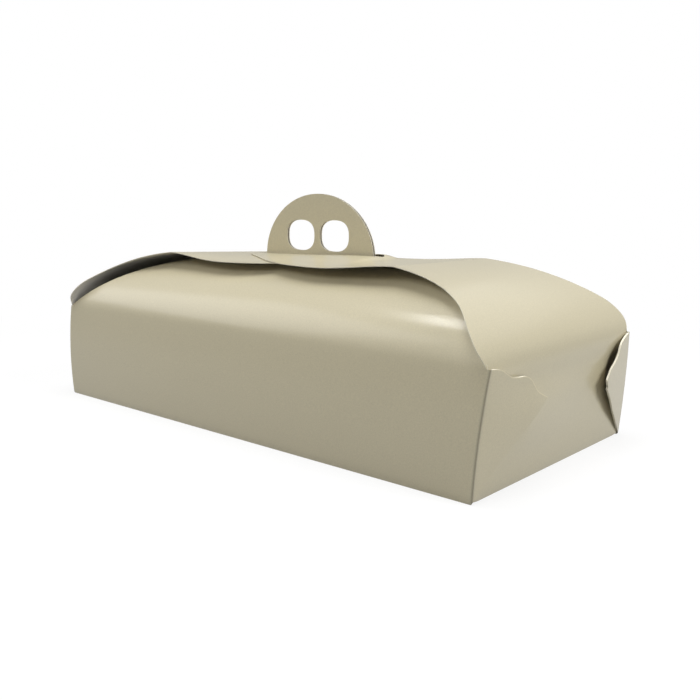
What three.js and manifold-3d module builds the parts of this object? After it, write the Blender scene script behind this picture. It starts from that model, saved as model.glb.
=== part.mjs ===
// A cake box folded from one sheet of coated card: a flat base, four low walls, two long panels that bend over
// the cake and end in a two-layer carrying handle, and two end flaps whose slotted tongues close over the handle.
// Millimetres, +Z up, +X along the length. The origin is the middle of the base's underside.
import * as THREE from 'three';
import { mergeVertices } from 'three/addons/utils/BufferGeometryUtils.js';
import Module from 'manifold-3d';

const wasm = await Module();
wasm.setup();

// The sheet and the tray
const cardThickness = 0.5;
const baseLength = 440;
const baseWidth = 206.8;
const wallHeight = 81.3;
const endFlare = 6.4;          // how far each end wall leans out at its top
const longWallLean = 5.5;      // how far each long wall leans in at its top
const longWallBow = 2.4;       // how far a long wall bows out halfway up
const cornerWrap = 2 * cardThickness;

// The long panels and the handle that they end in
const ridgeHeight = 131;       // outside of the fold between a long panel and its handle layer
const handleRise = 52;         // from the ridge to the top of the handle
const handleHalfWidth = 60.6;
const handleMiddle = -1.7;     // the handle sits this far off the middle of the length
const handleLayerGap = 1.6;
const panelClimb = [5, 22];    // how far in and up the panel's first control point lies from the wall top
const panelLevel = [38, 4];    // how far in from the wall top, and below the ridge, its second one lies

// The panels' cut side edges. The first control point lies in from the wall top and from the end, the second one
// out from the ridge and along from the handle's edge. The right edge is wholly under its flap.
const leftCut = { start: [7, 46], end: [33, 77] };
const rightCut = { start: [14, 24], end: [43, 104] };
const cornerRelief = 2;        // the cut starts this far in from the corner, clear of the flap beside it

// The finger holes
const fingerHoleWidth = 31.8;
const fingerHoleHeight = 25.2;
const fingerHoleAboveRidge = 5.6;
const fingerHoleBridge = 6.2;
const fingerHoleSquareness = 2.6;

// The end flaps
const creaseFromMiddle = 123.75;
const creaseHeight = 133.2;
const flapClimb = [14, 27];    // how far in and up the bend's first control point lies from the wall top
const flapLevel = [59, 6.4];   // how far out from the crease, and below it, its second one lies
const flapHalfWidthAtCrease = 59;
const tongueHalfWidth = 62;
const tongueTipPastMiddle = 77;
const tongueCrown = 3.6;       // a tongue's long edges lie this much lower than its middle
const crownRise = [0, 0.35];   // shares of the tongue's length over which that comes in
const tongueGap = 0.35;        // between one layer of the closed top and the next
const upperTongueLift = 2.3;   // the upper tongue stands off this much where the handle's crease end lifts it
const liftFall = [5, 13];      // and falls back between these distances past the handle
const liftWidth = [10, 45];    // and between these to each side
const leftFlapTwist = 4;       // the left flap's crease lies this much lower at its back end
const twistFade = [0, 0.23];   // shares of the tongue's length over which the twist goes out
const slotHalfWidth = 4.5;
const slotPastHandle = 7;      // on the tip's side
const slotBeforeHandle = 9;    // on the crease's side
const hingeGap = 0.3;

// The corner gussets, folded double along a diagonal. Each one's free edge is a wavy cut from the fold's free end
// to the top of the corner, held as points (in from the corner, height).
const gussetEdge = [
  [66.3, 55.2],
  [59.1, 58.4],
  [54.3, 61.2],
  [50.5, 65.4],
  [47, 68.8],
  [43, 71],
  [38, 72.2],
  [31.5, 72.5],
  [24.5, 73.8],
  [18.5, 76.4],
  [12.5, 79.4],
  [6, 80.8],
];
const looseGussetEdge = [
  [50, 52],
  [45.5, 55.5],
  [41.4, 59.1],
  [33, 62.5],
  [25.9, 67.1],
  [20, 74.6],
  [11, 78.5],
];
const leftGussetTilt = THREE.MathUtils.degToRad(5);
const nearGussetTilt = THREE.MathUtils.degToRad(4);  // the right front one, which also follows the bulge
const nearGussetFollow = 0.7;
const looseGussetTilt = THREE.MathUtils.degToRad(8); // the right back one, which stands off over the dent

// How the right end wall is pushed out of shape: a bulge, a shallow valley over it, and a deep dent at the back
const endBulge = 3.8;
const bulgeHeight = 45;
const bulgeHalfHeight = 36;
const bulgeReach = 56;
const valleyDepth = 1.2;
const valleyHeight = 66;
const valleyHalfHeight = 16;
const dentDepth = 11;
const dentHeight = 51;
const dentHalfHeight = 30;
const bulgeEnd = 0.45;         // these three are shares of the way from the middle to the back or front edge
const valleyFade = [0.5, 0.9];
const dentRise = [0.6, 0.93];

const card = new THREE.MeshStandardMaterial({ color: 0xcfc6aa, roughness: 0.38, metalness: 0 });
const flapCard = new THREE.MeshStandardMaterial({ color: 0xd6cdb2, roughness: 0.38, metalness: 0 });

// Closed bodies

function volumeOf(vertices, triangles) {
  const a = new THREE.Vector3();
  const b = new THREE.Vector3();
  const c = new THREE.Vector3();
  let sum = 0;
  for (let i = 0; i < triangles.length; i += 3) {
    a.fromArray(vertices, 3 * triangles[i]);
    b.fromArray(vertices, 3 * triangles[i + 1]);
    c.fromArray(vertices, 3 * triangles[i + 2]);
    sum += a.dot(b.cross(c)) / 6;
  }
  return sum;
}

function toSolid(geometry) {
  const bare = geometry.clone();
  bare.deleteAttribute('normal');
  bare.deleteAttribute('uv');
  const merged = mergeVertices(bare, 1e-4);
  const vertProperties = new Float32Array(merged.attributes.position.array);
  const triVerts = new Uint32Array(merged.index.array);
  if (volumeOf(vertProperties, triVerts) < 0) triVerts.reverse();
  return new wasm.Manifold(new wasm.Mesh({ numProp: 3, vertProperties, triVerts }));
}

function toGeometry(solid) {
  const mesh = solid.getMesh();
  const geometry = new THREE.BufferGeometry();
  geometry.setAttribute('position', new THREE.BufferAttribute(mesh.vertProperties, 3));
  geometry.setIndex(new THREE.BufferAttribute(mesh.triVerts, 1));
  geometry.computeVertexNormals();
  return geometry;
}

// A bent sheet: rows of points on its outside, and the same rows moved in by its thickness.
function sheetSolid(outside, inwards, thickness) {
  const rows = outside.length;
  const columns = outside[0].length;
  const movedIn = (p, direction) => p.clone().addScaledVector(direction, thickness);
  const inside = outside.map((row, i) => row.map((p, j) => movedIn(p, inwards[i][j])));
  const positions = [...outside.flat(), ...inside.flat()].flatMap((p) => p.toArray());
  const at = (side, i, j) => side * rows * columns + i * columns + j;
  const index = [];
  const quad = (a, b, c, d) => index.push(a, b, c, a, c, d);
  for (let i = 0; i < rows - 1; i += 1) {
    for (let j = 0; j < columns - 1; j += 1) {
      quad(at(0, i, j), at(0, i, j + 1), at(0, i + 1, j + 1), at(0, i + 1, j));
      quad(at(1, i, j), at(1, i + 1, j), at(1, i + 1, j + 1), at(1, i, j + 1));
    }
    quad(at(0, i, 0), at(0, i + 1, 0), at(1, i + 1, 0), at(1, i, 0));
    quad(at(0, i, columns - 1), at(1, i, columns - 1), at(1, i + 1, columns - 1), at(0, i + 1, columns - 1));
  }
  for (let j = 0; j < columns - 1; j += 1) {
    quad(at(0, 0, j), at(1, 0, j), at(1, 0, j + 1), at(0, 0, j + 1));
    quad(at(0, rows - 1, j), at(0, rows - 1, j + 1), at(1, rows - 1, j + 1), at(1, rows - 1, j));
  }
  const geometry = new THREE.BufferGeometry();
  geometry.setAttribute('position', new THREE.BufferAttribute(new Float32Array(positions), 3));
  geometry.setIndex(index);
  return toSolid(geometry);
}

// A flat sheet with an outline, extruded from z = 0 to its thickness and then placed.
function plateSolid(shape, thickness, place, curveSegments = 16) {
  const geometry = new THREE.ExtrudeGeometry(shape, { depth: thickness, bevelEnabled: false, curveSegments });
  geometry.applyMatrix4(place);
  return toSolid(geometry);
}

// Inward normals of a profile held as points (out, up), turned into (out, up) directions
function profileNormals(profile) {
  return profile.map((p, i) => {
    const before = profile[Math.max(i - 1, 0)];
    const after = profile[Math.min(i + 1, profile.length - 1)];
    const along = after.clone().sub(before).normalize();
    return new THREE.Vector2(-along.y, along.x);
  });
}

// Profiles of the walls, as (distance out from the middle, height)

const halfLength = baseLength / 2;
const halfWidth = baseWidth / 2;

const endWallOut = (height) => halfLength + endFlare * height / wallHeight;
const longWallOut = (height) => {
  const t = height / wallHeight;
  return halfWidth - longWallLean * t + 4 * longWallBow * t * (1 - t);
};

// The front and back: wall, panel over the cake, up to the fold at the ridge.
const ridgeOut = handleLayerGap / 2 + cardThickness;
const panelCurve = new THREE.CubicBezierCurve(
  new THREE.Vector2(longWallOut(wallHeight), wallHeight),
  new THREE.Vector2(longWallOut(wallHeight) - panelClimb[0], wallHeight + panelClimb[1]),
  new THREE.Vector2(longWallOut(wallHeight) - panelLevel[0], ridgeHeight - panelLevel[1]),
  new THREE.Vector2(ridgeOut, ridgeHeight),
);
const wallSteps = 4;
const panelSteps = 16;
const longProfile = [];
for (let i = 0; i <= wallSteps; i += 1) {
  const height = (wallHeight - hingeGap) * i / wallSteps;
  longProfile.push(new THREE.Vector2(longWallOut(height), height));
}
longProfile.push(...panelCurve.getPoints(panelSteps));

function curveValueAt(points, x) {
  for (let i = 1; i < points.length; i += 1) {
    const a = points[i - 1];
    const b = points[i];
    if ((a.x - x) * (b.x - x) <= 0 && a.x !== b.x) return a.y + (b.y - a.y) * (x - a.x) / (b.x - a.x);
  }
  return points[points.length - 1].y;
}

// Half the panel's length at each distance out, towards one end. The cut edge runs in from the corner.
function panelCutPoints({ start, end }) {
  const wallTop = longWallOut(wallHeight);
  return new THREE.CubicBezierCurve(
    new THREE.Vector2(wallTop, endWallOut(wallHeight) - cornerRelief),
    new THREE.Vector2(wallTop - start[0], endWallOut(wallHeight) - start[1]),
    new THREE.Vector2(ridgeOut + end[0], handleHalfWidth + end[1]),
    new THREE.Vector2(ridgeOut, handleHalfWidth),
  ).getPoints(60);
}
const leftCutPoints = panelCutPoints(leftCut);
const rightCutPoints = panelCutPoints(rightCut);

// One long side. side is -1 for the front and +1 for the back.
function longSide(side) {
  const normals = profileNormals(longProfile);
  const outside = longProfile.map(({ x: out, y: up }) => {
    const onWall = up < wallHeight;
    const left = onWall ? endWallOut(up) : curveValueAt(leftCutPoints, out);
    const right = onWall ? endWallOut(up) : curveValueAt(rightCutPoints, out);
    const middle = onWall ? 0 : handleMiddle * (1 - out / longWallOut(wallHeight));
    return [middle - left, middle, middle + right].map((x) => new THREE.Vector3(x, side * out, up));
  });
  const inwards = normals.map((n) => [0, 1, 2].map(() => new THREE.Vector3(0, side * n.x, n.y)));
  return sheetSolid(outside, inwards, cardThickness).add(handleLayer(side));
}

// One layer of the handle: a half ellipse with two finger holes
function handleLayer(side) {
  const shape = new THREE.Shape();
  shape.moveTo(handleHalfWidth, -cardThickness);
  shape.lineTo(handleHalfWidth, 0);
  shape.absellipse(0, 0, handleHalfWidth, handleRise, 0, Math.PI, false, 0);
  shape.lineTo(-handleHalfWidth, -cardThickness);
  shape.closePath();
  for (const hand of [-1, 1]) {
    const middle = hand * (fingerHoleBridge + fingerHoleWidth) / 2;
    const points = [];
    const steps = 28;
    for (let i = 0; i < steps; i += 1) {
      const turn = 2 * Math.PI * i / steps;
      const squared = (value) => Math.sign(value) * Math.abs(value) ** (2 / fingerHoleSquareness);
      points.push(new THREE.Vector2(
        middle + fingerHoleWidth / 2 * squared(Math.cos(turn)),
        fingerHoleAboveRidge + fingerHoleHeight / 2 * (1 + squared(Math.sin(turn))),
      ));
    }
    shape.holes.push(new THREE.Path(points));
  }
  const nearFace = side < 0 ? -handleLayerGap / 2 : handleLayerGap / 2 + cardThickness;
  const place = new THREE.Matrix4().makeTranslation(handleMiddle, nearFace, ridgeHeight)
    .multiply(new THREE.Matrix4().makeRotationX(Math.PI / 2));
  return plateSolid(shape, cardThickness, place, 20);
}

// The end flaps

// From the wall top to the crease, one smooth bend, as (out, height)
const flapCurve = new THREE.CubicBezierCurve(
  new THREE.Vector2(endWallOut(wallHeight) - cornerWrap, wallHeight),
  new THREE.Vector2(endWallOut(wallHeight) - flapClimb[0], wallHeight + flapClimb[1]),
  new THREE.Vector2(creaseFromMiddle + flapLevel[0], creaseHeight - flapLevel[1]),
  new THREE.Vector2(creaseFromMiddle, creaseHeight),
);
const flapSteps = 16;
// Half its width along that bend, as a share of the way from the crease's half width to the wall top's
const flapSide = new THREE.SplineCurve([
  [0, 1],
  [0.1, 1.095],
  [0.22, 0.965],
  [0.32, 0.74],
  [0.42, 0.53],
  [0.58, 0.305],
  [0.8, 0.12],
  [1, 0],
].map(([t, share]) => new THREE.Vector2(
  t,
  THREE.MathUtils.lerp(flapHalfWidthAtCrease, longWallOut(wallHeight), share),
)));

// Past the crease each tongue closes over the handle.
const tongueLength = creaseFromMiddle + tongueTipPastMiddle;
const tongueSteps = 18;
const tongueSide = new THREE.SplineCurve([
  [0, flapHalfWidthAtCrease],
  [0.2, tongueHalfWidth - 1],
  [0.37, tongueHalfWidth],
  [0.51, tongueHalfWidth - 3],
  [0.59, tongueHalfWidth - 7],
  [0.7, tongueHalfWidth - 16],
  [0.82, tongueHalfWidth - 30],
  [0.92, tongueHalfWidth - 42],
  [0.98, 10],
  [1, 4],
].map(([t, half]) => new THREE.Vector2(t, half)));

// Height of a closed tongue's outside, t of its length past the crease. layer is 0 for the lower tongue and 1 for
// the upper one.
const stackStep = cardThickness + tongueGap;
function tongueHeight(t, y, layer) {
  const { smoothstep, lerp } = THREE.MathUtils;
  const out = creaseFromMiddle - tongueLength * t;
  const lie = ridgeHeight + (layer + 1) * stackStep;
  const fromCrease = smoothstep(creaseFromMiddle - out, 0, creaseFromMiddle - tongueTipPastMiddle);
  const middle = lerp(creaseHeight, lie, fromCrease);
  const along = smoothstep(out, -handleHalfWidth, handleHalfWidth)
    * (1 - smoothstep(out - handleHalfWidth, ...liftFall));
  const lift = upperTongueLift * along * (1 - smoothstep(Math.abs(y), ...liftWidth));
  const sag = tongueCrown * smoothstep(t, ...crownRise) * (y / tongueHalfWidth) ** 2;
  return middle + layer * lift - sag;
}

// One end flap. end is -1 for the left one and +1 for the right one.
function endFlap(end, layer, startGap, twist) {
  const { clamp, smoothstep } = THREE.MathUtils;
  const twistAt = (y) => twist * clamp(0.5 + y / (2 * flapHalfWidthAtCrease), 0, 1);
  const columns = 8;
  const outside = [];
  const inwards = [];
  const addRow = (out, half, heightAt, normal) => {
    const row = [];
    const rowIn = [];
    for (let j = 0; j <= columns; j += 1) {
      const v = 2 * j / columns - 1;
      row.push(new THREE.Vector3(end * out, v * half, heightAt(v * half)));
      rowIn.push(new THREE.Vector3(end * normal.x, 0, normal.y));
    }
    outside.push(row);
    inwards.push(rowIn);
  };
  const curve = flapCurve.getSpacedPoints(flapSteps);
  const normals = profileNormals(curve);
  curve[0].lerp(curve[1], startGap / curve[0].distanceTo(curve[1]));
  const sideAt = (spline, t) => curveValueAt(spline.getPoints(80), t);
  curve.forEach((p, i) => {
    const climbed = smoothstep(p.y, wallHeight, creaseHeight);
    addRow(p.x, sideAt(flapSide, i / flapSteps), (y) => p.y - twistAt(y) * climbed, normals[i]);
  });
  const down = new THREE.Vector2(0, -1);
  for (let i = 1; i <= tongueSteps; i += 1) {
    const t = i / tongueSteps;
    const left = 1 - smoothstep(t, ...twistFade);
    const heightAt = (y) => tongueHeight(t, y, layer) - twistAt(y) * left;
    addRow(creaseFromMiddle - tongueLength * t, sideAt(tongueSide, t), heightAt, down);
  }
  return sheetSolid(outside, inwards, cardThickness).subtract(slotCutter(end));
}

const cutterHeight = 24;

// The slot that each tongue closes over the handle, a long hole with round ends
function slotCutter(end) {
  const tipEnd = end * handleMiddle - handleHalfWidth - slotPastHandle;
  const creaseEnd = end * handleMiddle + handleHalfWidth + slotBeforeHandle;
  const shape = new THREE.Shape();
  shape.moveTo(tipEnd + slotHalfWidth, -slotHalfWidth);
  shape.lineTo(creaseEnd - slotHalfWidth, -slotHalfWidth);
  shape.absarc(creaseEnd - slotHalfWidth, 0, slotHalfWidth, -Math.PI / 2, Math.PI / 2, false);
  shape.lineTo(tipEnd + slotHalfWidth, slotHalfWidth);
  shape.absarc(tipEnd + slotHalfWidth, 0, slotHalfWidth, Math.PI / 2, 1.5 * Math.PI, false);
  const place = new THREE.Matrix4().makeTranslation(0, 0, ridgeHeight - cutterHeight / 2);
  if (end < 0) place.multiply(new THREE.Matrix4().makeRotationZ(Math.PI));
  return plateSolid(shape, cutterHeight, place, 8);
}

// How far the right end wall lies outside its plain shape, which it keeps at the base and at the wall top.
function endRelief(y, height) {
  const { clamp, smoothstep } = THREE.MathUtils;
  const hill = (centre, half) => Math.cos(Math.PI / 2 * clamp((height - centre) / half, -1, 1)) ** 2;
  const fromFront = clamp((y + halfWidth) / bulgeReach, 0, 1);
  const towardsBack = smoothstep(y, -bulgeReach, bulgeEnd * halfWidth);
  const bulge = endBulge * fromFront * (1 - towardsBack) * hill(bulgeHeight, bulgeHalfHeight);
  const atSides = smoothstep(Math.abs(y) / halfWidth, ...valleyFade);
  const valley = valleyDepth * (1 - atSides) * hill(valleyHeight, valleyHalfHeight);
  const dent = dentDepth * smoothstep(y / halfWidth, ...dentRise) * hill(dentHeight, dentHalfHeight);
  return bulge - valley - dent;
}

const plainWall = () => 0;

// The end walls
function endWall(end, topGap, relief) {
  const outside = [];
  const inwards = [];
  const steps = 12;
  const columns = 16;
  for (let i = 0; i <= steps; i += 1) {
    const height = Math.min(wallHeight * i / steps, wallHeight - topGap);
    const half = longWallOut(height) - cardThickness / 2;
    const row = [];
    for (let j = 0; j <= columns; j += 1) {
      const y = half * (2 * j / columns - 1);
      row.push(new THREE.Vector3(end * (endWallOut(height) - cornerWrap + relief(y, height)), y, height));
    }
    outside.push(row);
    inwards.push(row.map(() => new THREE.Vector3(-end, 0, 0)));
  }
  return sheetSolid(outside, inwards, cardThickness);
}

function baseSheet() {
  const half = new THREE.Vector2(halfLength - cornerWrap - cardThickness / 2, halfWidth - cardThickness / 2);
  const outside = [-half.x, half.x].map((x) => [-half.y, half.y].map((y) => new THREE.Vector3(x, y, 0)));
  const inwards = outside.map((row) => row.map(() => new THREE.Vector3(0, 0, 1)));
  return sheetSolid(outside, inwards, cardThickness);
}

// A gusset: the web of card between two walls, folded double on its diagonal and turned flat against the end
// wall. It hangs on the long wall's upright edge. Its fold runs up from the bottom corner.
function gusset(end, side, edge, tilt, follow) {
  const shape = new THREE.Shape();
  const root = -cardThickness / 2;
  shape.moveTo(root, 0);
  const wave = new THREE.SplineCurve(edge.map(([inwards, up]) => new THREE.Vector2(inwards, up)));
  for (const point of wave.getPoints(3 * (edge.length - 1))) shape.lineTo(point.x, point.y);
  shape.lineTo(root, wallHeight - hingeGap);
  shape.closePath();
  const lean = Math.atan2(endFlare, wallHeight);
  const geometry = new THREE.ExtrudeGeometry(shape, { depth: cornerWrap, bevelEnabled: false });
  const position = geometry.attributes.position;
  for (let i = 0; i < position.count; i += 1) {
    const inFromCorner = position.getX(i);
    const height = position.getY(i);
    const y = side * (longWallOut(height) - inFromCorner);
    const stand = inFromCorner * Math.tan(tilt) + follow * endRelief(y, height);
    const proud = position.getZ(i) - cornerWrap + stand;
    position.setXYZ(
      i,
      end * (endWallOut(height) + proud / Math.cos(lean)),
      y,
      height,
    );
  }
  return toSolid(geometry);
}

let sheet = baseSheet().add(longSide(-1)).add(longSide(1)).add(endWall(-1, 0, plainWall));
sheet = sheet.add(endWall(1, hingeGap / 2, endRelief));
sheet = sheet.add(endFlap(-1, 0, 0, leftFlapTwist));
for (const side of [-1, 1]) sheet = sheet.add(gusset(-1, side, gussetEdge, leftGussetTilt, 0));
sheet = sheet.add(gusset(1, -1, gussetEdge, nearGussetTilt, nearGussetFollow));
sheet = sheet.add(gusset(1, 1, looseGussetEdge, looseGussetTilt, 0));

const box = new THREE.Group();
const boxSheet = new THREE.Mesh(toGeometry(sheet), card);
boxSheet.name = 'box_sheet';
const rightFlap = new THREE.Mesh(toGeometry(endFlap(1, 1, hingeGap / 2, 0)), flapCard);
rightFlap.name = 'right_flap';
box.add(boxSheet, rightFlap);

export default box;
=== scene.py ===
# A closed cake box folded from one sheet of coated card, on a plain white studio floor.
# Sizes are in millimetres here, and become metres as each mesh is made.
import math

import bpy
import numpy as np
from mathutils import Matrix, Vector
from mathutils.geometry import delaunay_2d_cdt


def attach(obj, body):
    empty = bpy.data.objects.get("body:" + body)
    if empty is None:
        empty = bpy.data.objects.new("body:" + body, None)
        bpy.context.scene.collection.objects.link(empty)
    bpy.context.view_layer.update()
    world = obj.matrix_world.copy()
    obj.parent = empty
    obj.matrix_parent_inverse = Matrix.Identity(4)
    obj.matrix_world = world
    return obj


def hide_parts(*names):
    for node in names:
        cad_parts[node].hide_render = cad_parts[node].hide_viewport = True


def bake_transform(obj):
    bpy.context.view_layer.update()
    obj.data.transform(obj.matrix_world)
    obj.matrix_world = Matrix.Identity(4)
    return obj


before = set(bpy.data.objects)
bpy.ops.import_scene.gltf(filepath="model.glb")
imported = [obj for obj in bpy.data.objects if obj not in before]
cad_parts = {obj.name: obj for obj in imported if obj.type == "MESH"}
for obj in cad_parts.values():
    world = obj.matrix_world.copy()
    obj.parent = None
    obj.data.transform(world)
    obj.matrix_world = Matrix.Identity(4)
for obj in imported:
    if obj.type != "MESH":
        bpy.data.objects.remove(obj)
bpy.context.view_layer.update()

MM = 0.001

# The sheet and the tray
CARD = 0.5
BASE_LENGTH = 440.0
BASE_WIDTH = 206.8
WALL_HEIGHT = 81.3
END_FLARE = 6.4
LONG_WALL_LEAN = 5.5
LONG_WALL_BOW = 2.4
CORNER_WRAP = 2 * CARD
FOLD_RADIUS = 0.8
SOFT_BEND = 9.0
BASE_MARGIN = 8.0

# The long panels and the handle
RIDGE_HEIGHT = 131.0
HANDLE_RISE = 52.0
HANDLE_TOP = RIDGE_HEIGHT + HANDLE_RISE
HANDLE_HALF_WIDTH = 60.6
HANDLE_MIDDLE = -1.7
HANDLE_LAYER_GAP = 1.6
PANEL_CLIMB = (5.0, 22.0)
PANEL_LEVEL = (38.0, 4.0)
LEFT_CUT = ((7.0, 46.0), (33.0, 77.0))
RIGHT_CUT = ((14.0, 24.0), (43.0, 104.0))
CORNER_RELIEF = 2.0

# The finger holes
HOLE_WIDTH = 31.8
HOLE_HEIGHT = 25.2
HOLE_ABOVE_RIDGE = 5.6
HOLE_BRIDGE = 6.2
HOLE_SQUARENESS = 2.6

# The end flaps
CREASE_OUT = 123.75
CREASE_HEIGHT = 133.2
FLAP_CLIMB = (14.0, 27.0)
FLAP_LEVEL = (59.0, 6.4)
CREASE_HALF_WIDTH = 59.0
TONGUE_HALF_WIDTH = 62.0
TONGUE_TIP = 77.0
TONGUE_CROWN = 3.6
TONGUE_GAP = 0.35
CROWN_RISE = 0.35
SLOT_HALF_WIDTH = 4.5
SLOT_PAST_HANDLE = 7.0
SLOT_BEFORE_HANDLE = 9.0

# The handle holds the upper tongue up, and the lift falls off past the handle, to the sides and at the back
UPPER_LIFT = 2.3
LIFT_FALL = (5.0, 13.0)
LIFT_WIDTH = (10.0, 45.0)
LIFT_BACK = (6.0, 24.0)

# Behind its slot the upper tongue is raised in a lip, which rises and ends over these distances out
LIP_LIFT = 1.2
LIP_START = (36.0, 62.0)
LIP_END = (62.0, 71.0)
LIP_REACH = 22.0

# The left flap's crease lies this much lower at its back end, and the twist goes out along the tongue
LEFT_FLAP_TWIST = 4.0
TWIST_FADE = (0.0, 0.23)

# The corner gussets: the wavy cut edge as (in from the corner, height), from the fold's free end
GUSSET_EDGE = [
    (66.3, 55.2),
    (59.1, 58.4),
    (54.3, 61.2),
    (50.5, 65.4),
    (47.0, 68.8),
    (43.0, 71.0),
    (38.0, 72.2),
    (31.5, 72.5),
    (24.5, 73.8),
    (18.5, 76.4),
    (12.5, 79.4),
    (6.0, 80.8),
    (0.0, WALL_HEIGHT),
]
LOOSE_GUSSET_EDGE = [
    (50.0, 52.0),
    (45.5, 55.5),
    (41.4, 59.1),
    (33.0, 62.5),
    (25.9, 67.1),
    (20.0, 74.6),
    (11.0, 78.5),
    (0.0, WALL_HEIGHT),
]
# The loose gusset's fold is crushed, up from the bottom corner
LOOSE_GUSSET_FOLD = [(26.8, 24.5), (36.2, 34.6), (44.0, 41.5), (47.6, 44.6), (46.2, 46.4), (49.0, 50.0)]
LEFT_TILT = math.radians(5)
NEAR_TILT = math.radians(4)
NEAR_FOLLOW = 0.7
LOOSE_TILT = math.radians(8)
GUSSET_THICKNESS = 1.3

# The right end wall's bulge, the shallow valley over it, and the deep dent at its back
END_BULGE = 3.8
BULGE_HEIGHT = 45.0
BULGE_HALF_HEIGHT = 36.0
BULGE_REACH = 56.0
VALLEY_DEPTH = 1.2
VALLEY_HEIGHT = 66.0
VALLEY_HALF_HEIGHT = 16.0
DENT_DEPTH = 11.0
DENT_HEIGHT = 51.0
DENT_HALF_HEIGHT = 30.0
BULGE_END = 0.45
VALLEY_FADE = (0.5, 0.9)
DENT_RISE = (0.6, 0.93)

# Each section runs on past its cut end by the spare, and its wall starts at the point after the bottom fold
FOLD_POINTS = 7
WALL_FOOT = FOLD_POINTS
WALL_POINTS = 50
BEND_STEPS = 160
SECTION_SPARE = 5

# A distance along a section that is too small to matter
HAIR = 1e-6

# The meshes of the cut shapes
MESH_STEP = 3.0
BASE_MESH_STEP = 20.0
GRID_CLEARANCE = 0.55
SAME_POINT = 1e-4
CUT_TOLERANCE = 1e-5
TINY = 1e-12
POINTS_AT_ONCE = 2000
SHARP_EDGE = math.radians(35)

HALF_LENGTH = BASE_LENGTH / 2
HALF_WIDTH = BASE_WIDTH / 2
RIDGE_OUT = HANDLE_LAYER_GAP / 2 + CARD
TONGUE_LENGTH = CREASE_OUT + TONGUE_TIP


def smooth(value, low, high):
    t = np.clip((value - low) / (high - low), 0, 1)
    return t * t * (3 - 2 * t)


def end_wall_out(height):
    return HALF_LENGTH + END_FLARE * np.asarray(height) / WALL_HEIGHT


def long_wall_out(height):
    t = np.asarray(height) / WALL_HEIGHT
    return HALF_WIDTH - LONG_WALL_LEAN * t + 4 * LONG_WALL_BOW * t * (1 - t)


def bezier(points, steps):
    p = np.array(points, float)
    t = np.linspace(0, 1, steps + 1)[:, None]
    return (1 - t) ** 3 * p[0] + 3 * (1 - t) ** 2 * t * p[1] + 3 * (1 - t) * t**2 * p[2] + t**3 * p[3]


def catmull(points, steps):
    """A smooth curve through the given points, with the first and last ones doubled."""
    p = np.array([points[0], *points, points[-1]], float)
    out = []
    for i in range(1, len(p) - 2):
        t = np.linspace(0, 1, steps, endpoint=False)[:, None]
        a, b, c, d = p[i - 1], p[i], p[i + 1], p[i + 2]
        curve = 2 * b + (c - a) * t + (2 * a - 5 * b + 4 * c - d) * t**2 + (3 * b - a - 3 * c + d) * t**3
        out.append(0.5 * curve)
    return np.vstack([*out, p[-1:]])


class Profile:
    """A bent section as points (out, up), read by the distance along it."""

    def __init__(self, points):
        self.points = np.array(points, float)
        steps = np.hypot(*np.diff(self.points, axis=0).T)
        self.along = np.concatenate([[0], np.cumsum(steps)])

    def out(self, s):
        return np.interp(s, self.along, self.points[:, 0])

    def up(self, s):
        return np.interp(s, self.along, self.points[:, 1])


def base_fold(out):
    """From flat under the base, round the bottom fold, to the foot of a wall."""
    turn = np.linspace(0, math.pi / 2, FOLD_POINTS)
    arc_out = out - FOLD_RADIUS + FOLD_RADIUS * np.sin(turn)
    arc_up = FOLD_RADIUS - FOLD_RADIUS * np.cos(turn)
    return np.vstack([[[out - BASE_MARGIN, 0]], np.stack([arc_out, arc_up], 1)])


# Section of a long side: base margin, wall, panel, the fold at the ridge, handle
wall_heights = np.linspace(FOLD_RADIUS, WALL_HEIGHT, WALL_POINTS)[1:]
long_wall = np.stack([long_wall_out(wall_heights), wall_heights], 1)
long_top = float(long_wall_out(WALL_HEIGHT))
panel = bezier(
    [
        (long_top, WALL_HEIGHT),
        (long_top - PANEL_CLIMB[0], WALL_HEIGHT + PANEL_CLIMB[1]),
        (long_top - PANEL_LEVEL[0], RIDGE_HEIGHT - PANEL_LEVEL[1]),
        (RIDGE_OUT + FOLD_RADIUS, RIDGE_HEIGHT),
    ],
    BEND_STEPS,
)[1:]
fold_turn = np.linspace(0, math.pi / 2, FOLD_POINTS)[1:]
ridge_fold_out = RIDGE_OUT + FOLD_RADIUS * (1 - np.sin(fold_turn))
ridge_fold_up = RIDGE_HEIGHT + FOLD_RADIUS * (1 - np.cos(fold_turn))
ridge_fold = np.stack([ridge_fold_out, ridge_fold_up], 1)
handle_end = [[RIDGE_OUT, HANDLE_TOP + SECTION_SPARE]]
LONG = Profile(np.vstack([base_fold(HALF_WIDTH), long_wall, panel, ridge_fold, handle_end]))
LONG_FOOT = BASE_MARGIN + FOLD_RADIUS * (math.pi / 2 - 1)
LONG_WALL_TOP = LONG.along[WALL_FOOT + len(long_wall)]
LONG_RIDGE = LONG.along[WALL_FOOT + len(long_wall) + len(panel)]
LONG_HANDLE = LONG.along[WALL_FOOT + len(long_wall) + len(panel) + len(ridge_fold)]

# Section of an end: base margin, wall, bend, then level past the crease
end_wall = np.stack([end_wall_out(wall_heights) - CORNER_WRAP, wall_heights], 1)
end_top = float(end_wall_out(WALL_HEIGHT)) - CORNER_WRAP
bend = bezier(
    [
        (end_top, WALL_HEIGHT),
        (end_top + CORNER_WRAP - FLAP_CLIMB[0], WALL_HEIGHT + FLAP_CLIMB[1]),
        (CREASE_OUT + FLAP_LEVEL[0], CREASE_HEIGHT - FLAP_LEVEL[1]),
        (CREASE_OUT, CREASE_HEIGHT),
    ],
    BEND_STEPS,
)[1:]
end_curve = np.vstack([end_wall, bend])

# A softened bend fades out over this many reaches, and counts as sharp under this share of its reach
SOFT_FADE = 2.5
SOFT_LEAST = 0.01


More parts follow.
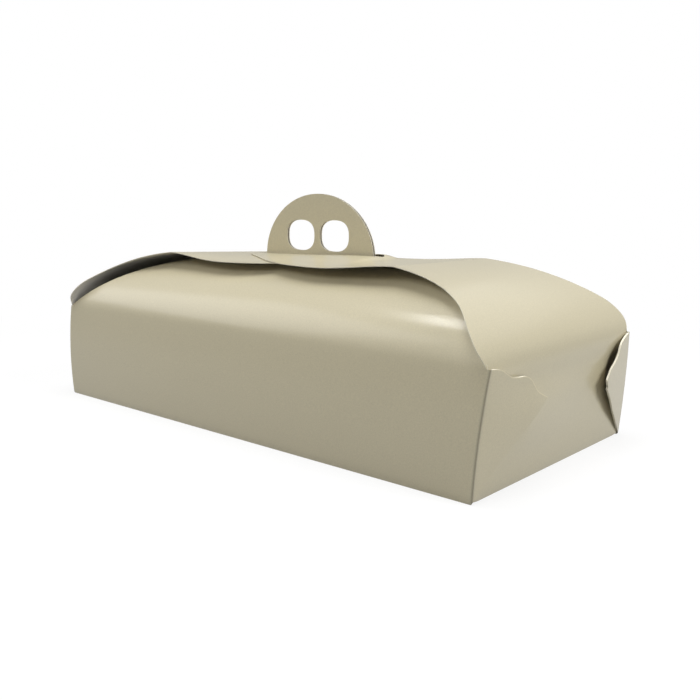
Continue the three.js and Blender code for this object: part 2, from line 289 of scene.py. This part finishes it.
def soften(points, middle, reach):
    """The points again, with the sharp bend at the middle one spread along the section to each side."""
    along = np.concatenate([[0], np.cumsum(np.hypot(*np.diff(points, axis=0).T))])
    out = points.copy()
    for i in range(len(points)):
        near = reach * smooth(abs(along[i] - along[middle]), SOFT_FADE * reach, 0)
        if near > SOFT_LEAST * reach:
            weight = np.exp(-(((along - along[i]) / near) ** 2)) * np.gradient(along)
            out[i] = (points * weight[:, None]).sum(axis=0) / weight.sum()
    return out


END = Profile(
    np.vstack(
        [
            base_fold(HALF_LENGTH - CORNER_WRAP),
            soften(end_curve, len(end_wall) - 1, SOFT_BEND),
            [[-TONGUE_TIP - SECTION_SPARE, CREASE_HEIGHT]],
        ]
    )
)
END_WALL_TOP = END.along[WALL_FOOT + len(end_wall)]
END_CREASE = END.along[WALL_FOOT + len(end_wall) + len(bend)]


def closed_ring(points):
    points = np.array(points, float)
    keep = np.hypot(*np.diff(points, axis=0, append=points[:1]).T) > SAME_POINT
    return points[keep]


def inside(points, ring):
    """Which points lie inside a closed ring."""
    x, y = points[:, 0:1], points[:, 1:2]
    a, b = ring, np.roll(ring, -1, axis=0)
    spans = (a[:, 1] > y) != (b[:, 1] > y)
    rise = b[:, 1] - a[:, 1]
    rise = np.where(np.abs(rise) < TINY, TINY, rise)
    crossing = a[:, 0] + (y - a[:, 1]) * (b[:, 0] - a[:, 0]) / rise
    return (np.sum(spans & (x < crossing), axis=1) % 2) == 1


def ring_distance(points, rings):
    """Distance of each point to the nearest vertex of the rings, which are finely stepped."""
    nearest = np.full(len(points), np.inf)
    for ring in rings:
        for part in np.array_split(np.arange(len(points)), max(1, len(points) // POINTS_AT_ONCE)):
            gap = np.hypot(points[part, None, 0] - ring[None, :, 0], points[part, None, 1] - ring[None, :, 1])
            nearest[part] = np.minimum(nearest[part], gap.min(axis=1))
    return nearest


def resample(ring, step):
    """The ring again, with points no further apart than step."""
    out = []
    for a, b in zip(ring, np.roll(ring, -1, axis=0)):
        count = max(1, int(math.ceil(np.hypot(*(b - a)) / step)))
        out.append(a + (b - a) * np.linspace(0, 1, count, endpoint=False)[:, None])
    return np.vstack(out)


def flat_mesh(rings, lines, spacing):
    """Triangles of a flat cut shape: its outline, its holes, and lines that have to stay in the mesh."""
    rings = [resample(closed_ring(ring), spacing) for ring in rings]
    low, high = rings[0].min(axis=0), rings[0].max(axis=0)
    xs = np.arange(low[0] + spacing / 2, high[0], spacing)
    ys = np.arange(low[1] + spacing / 2, high[1], spacing)
    grid = np.stack(np.meshgrid(xs, ys), -1).reshape(-1, 2)
    grid = grid[inside(grid, rings[0])]
    for hole in rings[1:]:
        grid = grid[~inside(grid, hole)]
    grid = grid[ring_distance(grid, rings + lines) > GRID_CLEARANCE * spacing]
    points = [*rings, grid]
    edges = []
    start = 0
    for ring in rings:
        edges += [(start + i, start + (i + 1) % len(ring)) for i in range(len(ring))]
        start += len(ring)
    start += len(grid)
    for line in lines:
        edges += [(start + i, start + i + 1) for i in range(len(line) - 1)]
        points.append(line)
        start += len(line)
    flat = [Vector(p) for p in np.vstack(points)]
    verts, _, faces, *_ = delaunay_2d_cdt(flat, edges, [], 0, CUT_TOLERANCE)
    verts = np.array([tuple(v) for v in verts])
    faces = np.array([tuple(f) for f in faces])
    middle = verts[faces].mean(axis=1)
    keep = inside(middle, rings[0])
    for hole in rings[1:]:
        keep &= ~inside(middle, hole)
    faces = faces[keep]
    used, faces = np.unique(faces, return_inverse=True)
    return verts[used], faces.reshape(-1, 3)


def level_line(reach, along, step=MESH_STEP):
    """A straight line across a flat shape, at one distance up its section."""
    x = np.arange(-reach, reach + step, step)
    return np.stack([x, np.full(len(x), along)], 1)


def vertex_normals(points, faces):
    a, b, c = (points[faces[:, i]] for i in range(3))
    face = np.cross(b - a, c - a)
    total = np.zeros_like(points)
    for i in range(3):
        np.add.at(total, faces[:, i], face)
    return total / np.maximum(np.linalg.norm(total, axis=1, keepdims=True), TINY)


def card_object(name, points, faces, outward, thickness=CARD, painted_light=0.0):
    """A closed sheet from its outside: the same points moved in by the thickness, and a rim of cut edge."""
    normals = vertex_normals(points, faces)
    if np.sum(normals * outward(points)) < 0:
        faces = faces[:, ::-1]
        normals = -normals
    count = len(points)
    thickness = np.broadcast_to(thickness, count)
    body = np.vstack([points, points - normals * thickness[:, None]])
    sides = np.vstack([faces[:, [0, 1]], faces[:, [1, 2]], faces[:, [2, 0]]])
    key = np.sort(sides, axis=1)
    _, first, copies = np.unique(key, axis=0, return_index=True, return_counts=True)
    rim = sides[first[copies == 1]]
    polygons = [tuple(f) for f in faces]
    polygons += [tuple(f + count) for f in faces[:, ::-1]]
    polygons += [(b, a, a + count, b + count) for a, b in rim]
    mesh = bpy.data.meshes.new(name)
    mesh.from_pydata((body * MM).tolist(), [], polygons)
    mesh.polygons.foreach_set("use_smooth", [True] * len(polygons))
    kinds = [0] * len(faces) + [1] * len(faces) + [2] * len(rim)
    for material in (outside_card, inside_card, cut_edge):
        mesh.materials.append(material)
    mesh.polygons.foreach_set("material_index", kinds)
    # Painted shade along the corner folds and painted highlight along the gussets' cut edges, kept per point
    painted_light_attribute = mesh.attributes.new("painted_shade_and_highlight", "FLOAT", "POINT")
    painted_light_attribute.data.foreach_set("value", np.tile(np.broadcast_to(painted_light, count), 2))
    mesh.set_sharp_from_angle(angle=SHARP_EDGE)
    mesh.update()
    obj = bpy.data.objects.new(name, mesh)
    bpy.context.collection.objects.link(obj)
    return obj


# Materials

# The noises' scales, and how much the fine grain adds to the bumps, which are this deep in metres
GRAIN_SCALE = 1100
MOTTLE_SCALE = 14
UNEVEN_SCALE = 90
GRAIN_IN_BUMP = 0.25
BUMP_DEPTH = 0.0002

COAT_ROUGHNESS = 0.18
CARD_IOR = 1.47
ROUGHNESS_SPREAD = 0.05

# Where the painted shade along a corner fold is full, the card keeps this share of its colour
PAINTED_SHADE_TONE = 0.5


def material(name, colour, roughness, coat, grain, mottle, bump):
    """Card with fine grain, slow changes of tone and a little unevenness of the surface."""
    made = bpy.data.materials.new(name)
    made.use_nodes = True
    nodes, links = made.node_tree.nodes, made.node_tree.links
    shader = nodes["Principled BSDF"]
    shader.inputs["Coat Weight"].default_value = coat
    shader.inputs["Coat Roughness"].default_value = COAT_ROUGHNESS
    shader.inputs["IOR"].default_value = CARD_IOR
    place = nodes.new("ShaderNodeTexCoord")

    def noise(scale, detail):
        node = nodes.new("ShaderNodeTexNoise")
        node.inputs["Scale"].default_value = scale
        node.inputs["Detail"].default_value = detail
        links.new(place.outputs["Object"], node.inputs["Vector"])
        return node

    fine = noise(GRAIN_SCALE, detail=3)
    slow = noise(MOTTLE_SCALE, detail=3)
    tone = colour
    for source, amount in ((fine, grain), (slow, mottle)):
        spread = nodes.new("ShaderNodeMapRange")
        spread.inputs["To Min"].default_value = 1 - amount
        spread.inputs["To Max"].default_value = 1 + amount
        links.new(source.outputs["Fac"], spread.inputs["Value"])
        mix = nodes.new("ShaderNodeVectorMath")
        mix.operation = "SCALE"
        if isinstance(tone, tuple):
            mix.inputs[0].default_value = tone
        else:
            links.new(tone, mix.inputs[0])
        links.new(spread.outputs["Result"], mix.inputs["Scale"])
        tone = mix.outputs["Vector"]
    # The card is darkened by the painted shade along corner folds and lightened by the painted highlight
    # along gusset edges
    painted_light_attribute = nodes.new("ShaderNodeAttribute")
    painted_light_attribute.attribute_name = "painted_shade_and_highlight"
    painted_light_scale = nodes.new("ShaderNodeMapRange")
    painted_light_scale.clamp = False
    painted_light_scale.inputs["To Min"].default_value = 1
    painted_light_scale.inputs["To Max"].default_value = PAINTED_SHADE_TONE
    links.new(painted_light_attribute.outputs["Fac"], painted_light_scale.inputs["Value"])
    dim = nodes.new("ShaderNodeVectorMath")
    dim.operation = "SCALE"
    links.new(tone, dim.inputs[0])
    links.new(painted_light_scale.outputs["Result"], dim.inputs["Scale"])
    links.new(dim.outputs["Vector"], shader.inputs["Base Color"])
    rough = nodes.new("ShaderNodeMapRange")
    rough.inputs["To Min"].default_value = roughness - ROUGHNESS_SPREAD
    rough.inputs["To Max"].default_value = roughness + ROUGHNESS_SPREAD
    links.new(slow.outputs["Fac"], rough.inputs["Value"])
    links.new(rough.outputs["Result"], shader.inputs["Roughness"])
    uneven = noise(UNEVEN_SCALE, detail=4)
    height = nodes.new("ShaderNodeMath")
    height.operation = "MULTIPLY_ADD"
    height.inputs[1].default_value = GRAIN_IN_BUMP
    links.new(fine.outputs["Fac"], height.inputs[0])
    links.new(uneven.outputs["Fac"], height.inputs[2])
    relief = nodes.new("ShaderNodeBump")
    relief.inputs["Strength"].default_value = bump
    relief.inputs["Distance"].default_value = BUMP_DEPTH
    links.new(height.outputs[0], relief.inputs["Height"])
    links.new(relief.outputs["Normal"], shader.inputs["Normal"])
    return made


outside_card = material(
    "coated_outside",
    colour=(0.60, 0.541, 0.372),
    roughness=0.42,
    coat=0.7,
    grain=0.13,
    mottle=0.02,
    bump=0.35,
)
inside_card = material(
    "plain_inside",
    colour=(0.70, 0.67, 0.60),
    roughness=0.75,
    coat=0.0,
    grain=0.05,
    mottle=0.02,
    bump=0.5,
)
cut_edge = material(
    "cut_edge",
    colour=(0.74, 0.70, 0.58),
    roughness=0.8,
    coat=0.0,
    grain=0.04,
    mottle=0.02,
    bump=0.2,
)


# The long sides

# The cut outline's corner at the foot is taken off by (along, up), and its side starts a little in
FOOT_CUT = (0.8, 1.2)
FOOT_INSET = 0.1

# A gusset's cut edge may start this far before the corner
GUSSET_BEFORE_CORNER = 0.2

GUSSET_EDGE_STEPS = 6
PANEL_CUT_STEPS = 120
HANDLE_ARC_POINTS = 50
HOLE_POINTS = 72


def wall_along(height):
    """Distance up a long side's section at a height of its wall."""
    share = (height - FOLD_RADIUS) / (WALL_HEIGHT - FOLD_RADIUS)
    return LONG.along[WALL_FOOT] + share * (LONG_WALL_TOP - LONG.along[WALL_FOOT])


def long_outline(fold, gusset_edge, panel_cut):
    """Half of the long side's cut outline as (along, distance up the section), from base to handle top."""
    foot_x = HALF_LENGTH - BASE_MARGIN
    edge = [(foot_x, 0), (HALF_LENGTH - FOOT_CUT[0], LONG_FOOT - FOOT_CUT[1])]
    edge.append((HALF_LENGTH - FOOT_INSET, LONG_FOOT))
    edge += [(float(end_wall_out(height)) + reach, wall_along(height)) for reach, height in fold]
    for reach, height in catmull(gusset_edge, GUSSET_EDGE_STEPS):
        edge.append((float(end_wall_out(height)) + max(reach, -GUSSET_BEFORE_CORNER), wall_along(height)))
    start, end = panel_cut
    cut = bezier(
        [
            (long_top, float(end_wall_out(WALL_HEIGHT)) - CORNER_RELIEF),
            (long_top - start[0], float(end_wall_out(WALL_HEIGHT)) - start[1]),
            (RIDGE_OUT + end[0], HANDLE_HALF_WIDTH + end[1]),
            (RIDGE_OUT, HANDLE_HALF_WIDTH),
        ],
        PANEL_CUT_STEPS,
    )
    on_panel = (LONG.along >= LONG_WALL_TOP - HAIR) & (LONG.along <= LONG_RIDGE + HAIR)
    outs, alongs = LONG.points[on_panel, 0], LONG.along[on_panel]
    for out, half in cut[:-1]:
        if out > RIDGE_OUT + FOLD_RADIUS:
            edge.append((half, float(np.interp(out, outs[::-1], alongs[::-1]))))
    edge.append((HANDLE_HALF_WIDTH, LONG_RIDGE))
    rise = HANDLE_RISE - FOLD_RADIUS
    turn = np.linspace(0, math.pi / 2, HANDLE_ARC_POINTS)
    edge += [(HANDLE_HALF_WIDTH * math.cos(a), LONG_HANDLE + rise * math.sin(a)) for a in turn]
    return np.array(edge)


def finger_hole(hand):
    """A rounded square cut, to the right or left of the handle's middle."""
    turn = np.linspace(0, 2 * math.pi, HOLE_POINTS, endpoint=False)
    power = 2 / HOLE_SQUARENESS
    x = HOLE_WIDTH / 2 * np.sign(np.cos(turn)) * np.abs(np.cos(turn)) ** power
    up = HOLE_HEIGHT / 2 * (1 + np.sign(np.sin(turn)) * np.abs(np.sin(turn)) ** power)
    middle = hand * (HOLE_BRIDGE + HOLE_WIDTH) / 2
    return np.stack([middle + x, LONG_HANDLE + HOLE_ABOVE_RIDGE - FOLD_RADIUS + up], 1)


def long_place(flat, side, tilt_right, follow):
    """Where a point of the flat long side goes: up its section, and round the corner onto the end wall."""
    x, s = flat[:, 0], flat[:, 1]
    out, up = LONG.out(s), LONG.up(s)
    shift = HANDLE_MIDDLE * (1 - np.clip(out / long_top, 0, 1)) * (s > LONG_WALL_TOP)
    tilt = np.where(x > 0, tilt_right, LEFT_TILT)
    corner = end_wall_out(np.minimum(up, WALL_HEIGHT))
    past = np.abs(x) - (corner - FOLD_RADIUS)
    round_length = FOLD_RADIUS * (math.pi / 2 - tilt)
    turn = np.clip(past / FOLD_RADIUS, 0, math.pi / 2 - tilt)
    straight = np.maximum(past - round_length, 0)
    wraps = (past > 0) & (s < LONG_WALL_TOP + HAIR)
    wrapped_x = corner - FOLD_RADIUS + FOLD_RADIUS * np.sin(turn) + straight * np.sin(tilt)
    wrapped_out = out - FOLD_RADIUS * (1 - np.cos(turn)) - straight * np.cos(tilt)
    wrapped_x = wrapped_x + follow * (x > 0) * end_relief(side * wrapped_out, up)
    along = np.where(wraps, np.sign(x) * wrapped_x, x + shift)
    across = np.where(wraps, wrapped_out, out)
    return np.stack([along, side * across, up], 1)


# A pale strip along a gusset's cut edge is a painted highlight, where the edge catches the light from above.
# Its inner line lies this far in, and this many times as far down, and the edge's last points next to the
# corner are left out
EDGE_STRIP = 0.45
EDGE_STRIP_DROP = 1.6
EDGE_STRIP_STEPS = 12
EDGE_POINTS_LEFT_OUT = 4
ON_EDGE = 0.3
EDGE_LIGHT = 0.6

# Lines that keep the corner's fold round in the mesh, as distances past the corner
CORNER_LINES = (-1.8, -1.2, -0.8, -0.4, 0.0, 0.4, 0.8, 1.4)
CORNER_LINE_POINTS = 28
CORNER_LINE_INSETS = (2, 1)
RIDGE_LINES = 5
RIDGE_LINE_SPARE = 3
BELOW_WALL_TOP = 0.4

# How far the painted shade along a corner fold reaches, and where past the corner a gusset's second layer of
# card begins
CORNER_SHADE_REACH = 0.9
SECOND_LAYER = (0.5, 4.0)

# A long side's outside faces out, and this much up
FACES_UP = 0.3


def long_side(name, side, tilt_right, fold, gusset_edge, follow):
    right_half = long_outline(fold, gusset_edge, RIGHT_CUT)
    left_half = long_outline([], GUSSET_EDGE, LEFT_CUT)
    ring = np.vstack([right_half, left_half[::-1] * [-1, 1]])
    lines = [level_line(HALF_LENGTH, LONG_WALL_TOP - BELOW_WALL_TOP)]
    ridge_lines = np.linspace(LONG_RIDGE, LONG_HANDLE, RIDGE_LINES)
    lines += [level_line(HANDLE_HALF_WIDTH + RIDGE_LINE_SPARE, s) for s in ridge_lines]
    lowest, highest = FOLD_RADIUS + CORNER_LINE_INSETS[0], WALL_HEIGHT - CORNER_LINE_INSETS[1]
    heights = np.linspace(lowest, highest, CORNER_LINE_POINTS)
    for beside in CORNER_LINES:
        along = wall_along(heights)
        lines += [np.stack([hand * (end_wall_out(heights) + beside), along], 1) for hand in (-1, 1)]
    edges = []
    for hand, free_edge in ((1, gusset_edge), (-1, GUSSET_EDGE)):
        reach, height = catmull(free_edge, EDGE_STRIP_STEPS)[:-EDGE_POINTS_LEFT_OUT].T
        edges.append(np.stack([hand * (end_wall_out(height) + reach), wall_along(height)], 1))
        lines.append(edges[-1] - EDGE_STRIP * np.array([hand, EDGE_STRIP_DROP]))
    flat, faces = flat_mesh([ring, finger_hole(-1), finger_hole(1)], lines, MESH_STEP)
    points = long_place(flat, side, tilt_right, follow)
    up = np.minimum(points[:, 2], WALL_HEIGHT)
    on_wall = flat[:, 1] < LONG_WALL_TOP
    past_corner = np.abs(flat[:, 0]) - end_wall_out(up)
    # Painted shade along each corner fold of the walls
    painted_light = np.exp(-((past_corner / CORNER_SHADE_REACH) ** 2)) * on_wall
    # Painted highlight along the gussets' cut edges
    painted_light -= EDGE_LIGHT * (ring_distance(flat, edges) < ON_EDGE)
    inner = smooth(past_corner, *SECOND_LAYER) * on_wall
    thickness = CARD + (GUSSET_THICKNESS - CARD) * inner

    def outward(p):
        return np.stack([np.zeros(len(p)), np.full(len(p), side), np.full(len(p), FACES_UP)], 1)

    return card_object(name, points, faces, outward, thickness, painted_light)


# The ends

SLOT_END_POINTS = 14
END_EDGE_POINTS = 30
END_EDGE_START = 0.5
END_INSET = 1.2 * CARD

# Lines that keep the crease sharp in the mesh, as distances up the section from it
CREASE_LINES = (-0.8, 0, 0.8)
CREASE_LINE_SPARE = 6


def flap_half_width():
    """Half the width of an end as (distance up the section, half width), from wall top to tongue tip."""
    side = catmull(
        [(0, 1), (0.1, 1.095), (0.22, 0.965), (0.32, 0.74), (0.42, 0.53), (0.58, 0.305), (0.8, 0.12), (1, 0)],
        steps=10,
    )
    side[:, 1] = CREASE_HALF_WIDTH + side[:, 1] * (long_top - CREASE_HALF_WIDTH)
    tongue = catmull(
        [
            (0, CREASE_HALF_WIDTH),
            (0.2, TONGUE_HALF_WIDTH - 1),
            (0.37, TONGUE_HALF_WIDTH),
            (0.51, TONGUE_HALF_WIDTH - 3),
            (0.59, TONGUE_HALF_WIDTH - 7),
            (0.7, TONGUE_HALF_WIDTH - 16),
            (0.82, TONGUE_HALF_WIDTH - 30),
            (0.92, TONGUE_HALF_WIDTH - 42),
            (0.98, 10),
            (1, 4),
        ],
        steps=14,
    )
    side[:, 0] = END_WALL_TOP + side[:, 0] * (END_CREASE - END_WALL_TOP)
    tongue[:, 0] = END_CREASE + tongue[:, 0] * TONGUE_LENGTH
    return np.vstack([side[:-1], tongue])


def slot_ring(end):
    """The slot with its two round ends, as (across, distance up the section)."""
    tip = end * HANDLE_MIDDLE - HANDLE_HALF_WIDTH - SLOT_PAST_HANDLE
    near = end * HANDLE_MIDDLE + HANDLE_HALF_WIDTH + SLOT_BEFORE_HANDLE
    turn = np.linspace(-math.pi / 2, math.pi / 2, SLOT_END_POINTS)
    r = SLOT_HALF_WIDTH
    right = np.stack([near - r + r * np.cos(turn), r * np.sin(turn)], 1)
    left = np.stack([tip + r - r * np.cos(turn), -r * np.sin(turn)], 1)
    ring = np.vstack([right, left])
    return np.stack([ring[:, 1], END_CREASE + CREASE_OUT - ring[:, 0]], 1)


def tongue_height(out, y, layer):
    """The height of a tongue from its crease on: layer 0 lies on the ridge, and layer 1 on layer 0."""
    from_crease = smooth(CREASE_OUT - out, 0, CREASE_OUT - TONGUE_TIP)
    lie = RIDGE_HEIGHT + (layer + 1) * (CARD + TONGUE_GAP)
    lift = smooth(out, -HANDLE_HALF_WIDTH, HANDLE_HALF_WIDTH)
    lift = lift * (1 - smooth(out - HANDLE_HALF_WIDTH, *LIFT_FALL)) * (1 - smooth(np.abs(y), *LIFT_WIDTH))
    lift = lift * (1 - smooth(y, *LIFT_BACK))
    lip = smooth(out, *LIP_START) * (1 - smooth(out, *LIP_END)) * (y > 0)
    lip = lip * (1 - smooth(np.abs(y), SLOT_HALF_WIDTH, LIP_REACH))
    raised = layer * (UPPER_LIFT * lift + LIP_LIFT * lip)
    middle = CREASE_HEIGHT + (lie - CREASE_HEIGHT) * from_crease + raised
    sag = TONGUE_CROWN * smooth((CREASE_OUT - out) / TONGUE_LENGTH, 0, CROWN_RISE)
    return middle - sag * (y / TONGUE_HALF_WIDTH) ** 2


def hill(height, centre, half):
    """A smooth rise and fall with height: 1 at the centre, and 0 from the half height on."""
    return np.cos(np.pi / 2 * np.clip((height - centre) / half, -1, 1)) ** 2


def end_relief(y, height):
    """How far the right end wall lies outside its plain shape, which it keeps at the base and the top."""
    from_front = np.clip((y + HALF_WIDTH) / BULGE_REACH, 0, 1)
    towards_back = smooth(y, -BULGE_REACH, BULGE_END * HALF_WIDTH)
    bulge = END_BULGE * from_front * (1 - towards_back) * hill(height, BULGE_HEIGHT, BULGE_HALF_HEIGHT)
    at_sides = smooth(np.abs(y) / HALF_WIDTH, *VALLEY_FADE)
    valley = VALLEY_DEPTH * (1 - at_sides) * hill(height, VALLEY_HEIGHT, VALLEY_HALF_HEIGHT)
    dent = DENT_DEPTH * smooth(y / HALF_WIDTH, *DENT_RISE) * hill(height, DENT_HEIGHT, DENT_HALF_HEIGHT)
    return bulge - valley - dent


def end_place(flat, end, layer):
    """Where a point of a flat end goes: up the wall, round the bend and along the tongue."""
    y, s = flat[:, 0], flat[:, 1]
    out, up = END.out(s), END.up(s)
    if end > 0:
        out = out + end_relief(y, up) * (s < END_WALL_TOP)
    climbed = smooth(up, WALL_HEIGHT, CREASE_HEIGHT)
    up = np.where(s > END_CREASE, tongue_height(out, y, layer), up)
    if end < 0:
        twisted = climbed * (1 - smooth((s - END_CREASE) / TONGUE_LENGTH, *TWIST_FADE))
        up = up - LEFT_FLAP_TWIST * twisted * np.clip(0.5 + y / (2 * CREASE_HALF_WIDTH), 0, 1)
    return np.stack([end * out, y, up], 1)


def end_strip(name, end, layer):
    foot = HALF_WIDTH - BASE_MARGIN
    edge = [(foot, 0), (foot, BASE_MARGIN)]
    on_wall = slice(WALL_FOOT, WALL_FOOT + len(end_wall) + 1)
    ups, alongs = END.points[on_wall, 1], END.along[on_wall]
    for height in np.linspace(FOLD_RADIUS + END_EDGE_START, WALL_HEIGHT, END_EDGE_POINTS):
        edge.append((float(long_wall_out(height)) - END_INSET, float(np.interp(height, ups, alongs))))
    edge += [(half, along) for along, half in flap_half_width()[1:]]
    edge = np.array(edge)
    ring = np.vstack([edge, edge[::-1] * [-1, 1]])
    crease_reach = CREASE_HALF_WIDTH + CREASE_LINE_SPARE
    lines = [level_line(crease_reach, END_CREASE + beside) for beside in CREASE_LINES]
    flat, faces = flat_mesh([ring, slot_ring(end)], lines, MESH_STEP)
    points = end_place(flat, end, layer)

    def outward(p):
        return np.stack([np.full(len(p), end), np.zeros(len(p)), np.ones(len(p))], 1)

    return card_object(name, points, faces, outward)


# The base's own sheet lies inside the folds, just over the floor
BASE_INSET = 3
BASE_LIFT = 0.05


def base_sheet():
    half_x, half_y = HALF_LENGTH - BASE_INSET, HALF_WIDTH - BASE_INSET
    ring = [(-half_x, -half_y), (half_x, -half_y), (half_x, half_y), (-half_x, half_y)]
    flat, faces = flat_mesh([ring], [], BASE_MESH_STEP)
    points = np.column_stack([flat, np.full(len(flat), BASE_LIFT)])
    return card_object("base_sheet", points, faces, lambda p: np.tile([0.0, 0.0, -1.0], (len(p), 1)))


front = long_side("front_panel_and_handle", -1, NEAR_TILT, [], GUSSET_EDGE, NEAR_FOLLOW)
back = long_side("back_panel_and_handle", 1, LOOSE_TILT, LOOSE_GUSSET_FOLD, LOOSE_GUSSET_EDGE, 0)
left_end = end_strip("left_end_and_flap", -1, 0)
right_end = end_strip("right_end_and_flap", 1, 1)
base = base_sheet()

for piece in (front, back, left_end, base):
    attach(piece, "box")
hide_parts("box_sheet")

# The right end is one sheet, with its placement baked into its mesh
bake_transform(right_end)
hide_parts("right_flap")


# The studio

def value_math(nodes, links, operation, *values):
    """A math node whose inputs are numbers or sockets."""
    node = nodes.new("ShaderNodeMath")
    node.operation = operation
    for socket, value in zip(node.inputs, values):
        if isinstance(value, (int, float)):
            socket.default_value = value
        else:
            links.new(value, socket)
    return node.outputs[0]


# The floor is white where the camera sees it, with the box's shadow near it, partly white where it is
# mirrored, and a plain grey for all other light.
FLOOR_GREY = 0.4
FLOOR_WHITE_SHARE = 0.82
FLOOR_IN_GLOSS = 0.6
SHADOW_REACH = (0.3, 0.75)


def floor_material():
    made = bpy.data.materials.new("floor_white")
    made.use_nodes = True
    nodes, links = made.node_tree.nodes, made.node_tree.links
    nodes.clear()
    out = nodes.new("ShaderNodeOutputMaterial")
    path = nodes.new("ShaderNodeLightPath")
    seen = path.outputs["Is Camera Ray"]
    matt = nodes.new("ShaderNodeBsdfDiffuse")
    level = value_math(nodes, links, "MULTIPLY_ADD", seen, 1 - FLOOR_GREY, FLOOR_GREY)
    links.new(level, matt.inputs["Color"])
    white = nodes.new("ShaderNodeEmission")
    place = nodes.new("ShaderNodeTexCoord")
    distance = nodes.new("ShaderNodeVectorMath")
    distance.operation = "LENGTH"
    links.new(place.outputs["Object"], distance.inputs[0])
    fade = nodes.new("ShaderNodeMapRange")
    fade.interpolation_type = "SMOOTHSTEP"
    fade.inputs["From Min"].default_value, fade.inputs["From Max"].default_value = SHADOW_REACH
    fade.inputs["To Min"].default_value = FLOOR_WHITE_SHARE
    fade.inputs["To Max"].default_value = 1
    links.new(distance.outputs["Value"], fade.inputs["Value"])
    share = value_math(nodes, links, "MULTIPLY", seen, fade.outputs["Result"])
    glossy = value_math(nodes, links, "MULTIPLY", path.outputs["Is Glossy Ray"], FLOOR_IN_GLOSS)
    share = value_math(nodes, links, "MAXIMUM", share, glossy)
    mix = nodes.new("ShaderNodeMixShader")
    links.new(share, mix.inputs[0])
    links.new(matt.outputs[0], mix.inputs[1])
    links.new(white.outputs[0], mix.inputs[2])
    links.new(mix.outputs[0], out.inputs["Surface"])
    return made


FLOOR_HALF = 3.0
floor_mesh = bpy.data.meshes.new("studio_floor")
floor_mesh.from_pydata([(x, y, 0) for x, y in ((-1, -1), (1, -1), (1, 1), (-1, 1))], [], [(0, 1, 2, 3)])
floor_mesh.transform(Matrix.Diagonal((FLOOR_HALF, FLOOR_HALF, 1, 1)))
floor_mesh.materials.append(floor_material())
floor = bpy.data.objects.new("studio_floor", floor_mesh)
bpy.context.collection.objects.link(floor)

world = bpy.data.worlds.new("studio")
bpy.context.scene.world = world
world.use_nodes = True
nodes, links = world.node_tree.nodes, world.node_tree.links
sky = nodes["Background"]
WORLD_LIGHT = 0.08
BACKDROP_IN_GLOSS = 0.36
sky.inputs["Color"].default_value = (1.0, 1.0, 1.0, 1)
sky.inputs["Strength"].default_value = WORLD_LIGHT
backdrop = nodes.new("ShaderNodeBackground")
backdrop.inputs["Color"].default_value = (1, 1, 1, 1)
path = nodes.new("ShaderNodeLightPath")
glossy = value_math(nodes, links, "MULTIPLY", path.outputs["Is Glossy Ray"], BACKDROP_IN_GLOSS)
shown = value_math(nodes, links, "MAXIMUM", path.outputs["Is Camera Ray"], glossy)
shown = value_math(nodes, links, "MAXIMUM", shown, path.outputs["Is Transmission Ray"])
choose = nodes.new("ShaderNodeMixShader")
links.new(shown, choose.inputs[0])
links.new(sky.outputs[0], choose.inputs[1])
links.new(backdrop.outputs[0], choose.inputs[2])
links.new(choose.outputs[0], nodes["World Output"].inputs["Surface"])


def softbox(name, place, aim, size, power):
    light = bpy.data.lights.new(name, "AREA")
    light.shape = "RECTANGLE"
    light.size, light.size_y = size
    light.energy = power
    obj = bpy.data.objects.new(name, light)
    obj.location = place
    obj.rotation_euler = (Vector(aim) - Vector(place)).to_track_quat("-Z", "Y").to_euler()
    bpy.context.collection.objects.link(obj)


# Each softbox's place, what it is aimed at and its size, in metres, and its power in watts
softbox("top_softbox", (0.0, 0.0, 1.7), (0, 0, 0.05), (1.0, 1.0), 18.0)
softbox("strip_softbox", (-0.52, -0.13, 1.13), (0.18, -0.08, 0.1), (0.24, 0.07), 0.8)
softbox("left_softbox", (-1.15, -0.6, 0.95), (0, 0, 0.1), (0.9, 0.9), 4.0)
softbox("back_softbox", (0.1, 1.2, 1.15), (0, 0, 0.1), (1.2, 0.8), 1.4)
softbox("right_softbox", (1.4, 0.35, 0.9), (0, 0, 0.1), (0.7, 0.7), 13.5)
softbox("front_softbox", (-0.2, -1.5, 1.1), (0, 0, 0.1), (0.7, 0.7), 8.6)


# The camera, where the photograph's corners, creases and handle put it
CAMERA_PLACE = (465.79, -491.76, 173.13)
CAMERA_YAW = math.radians(41.3)
CAMERA_PITCH = math.radians(10.04)
CAMERA_ROLL = math.radians(0.195)
PHOTO_SIDE = 700
FOCAL_PIXELS = 812.7

forward = Vector(
    (
        -math.sin(CAMERA_YAW) * math.cos(CAMERA_PITCH),
        math.cos(CAMERA_YAW) * math.cos(CAMERA_PITCH),
        -math.sin(CAMERA_PITCH),
    )
)
level_right = Vector((math.cos(CAMERA_YAW), math.sin(CAMERA_YAW), 0))
level_up = level_right.cross(forward)
right = level_right * math.cos(CAMERA_ROLL) + level_up * math.sin(CAMERA_ROLL)
up = level_up * math.cos(CAMERA_ROLL) - level_right * math.sin(CAMERA_ROLL)
camera_data = bpy.data.cameras.new("camera")
camera_data.sensor_fit = "HORIZONTAL"
camera_data.sensor_width = 36
camera_data.lens = FOCAL_PIXELS / PHOTO_SIDE * camera_data.sensor_width
camera_data.clip_start = 0.01
camera = bpy.data.objects.new("camera", camera_data)
turn = Matrix((right, up, -forward)).transposed().to_4x4()
camera.matrix_world = Matrix.Translation(Vector(CAMERA_PLACE) * MM) @ turn
bpy.context.collection.objects.link(camera)
bpy.context.scene.camera = camera
bpy.context.scene.view_settings.view_transform = "Standard"
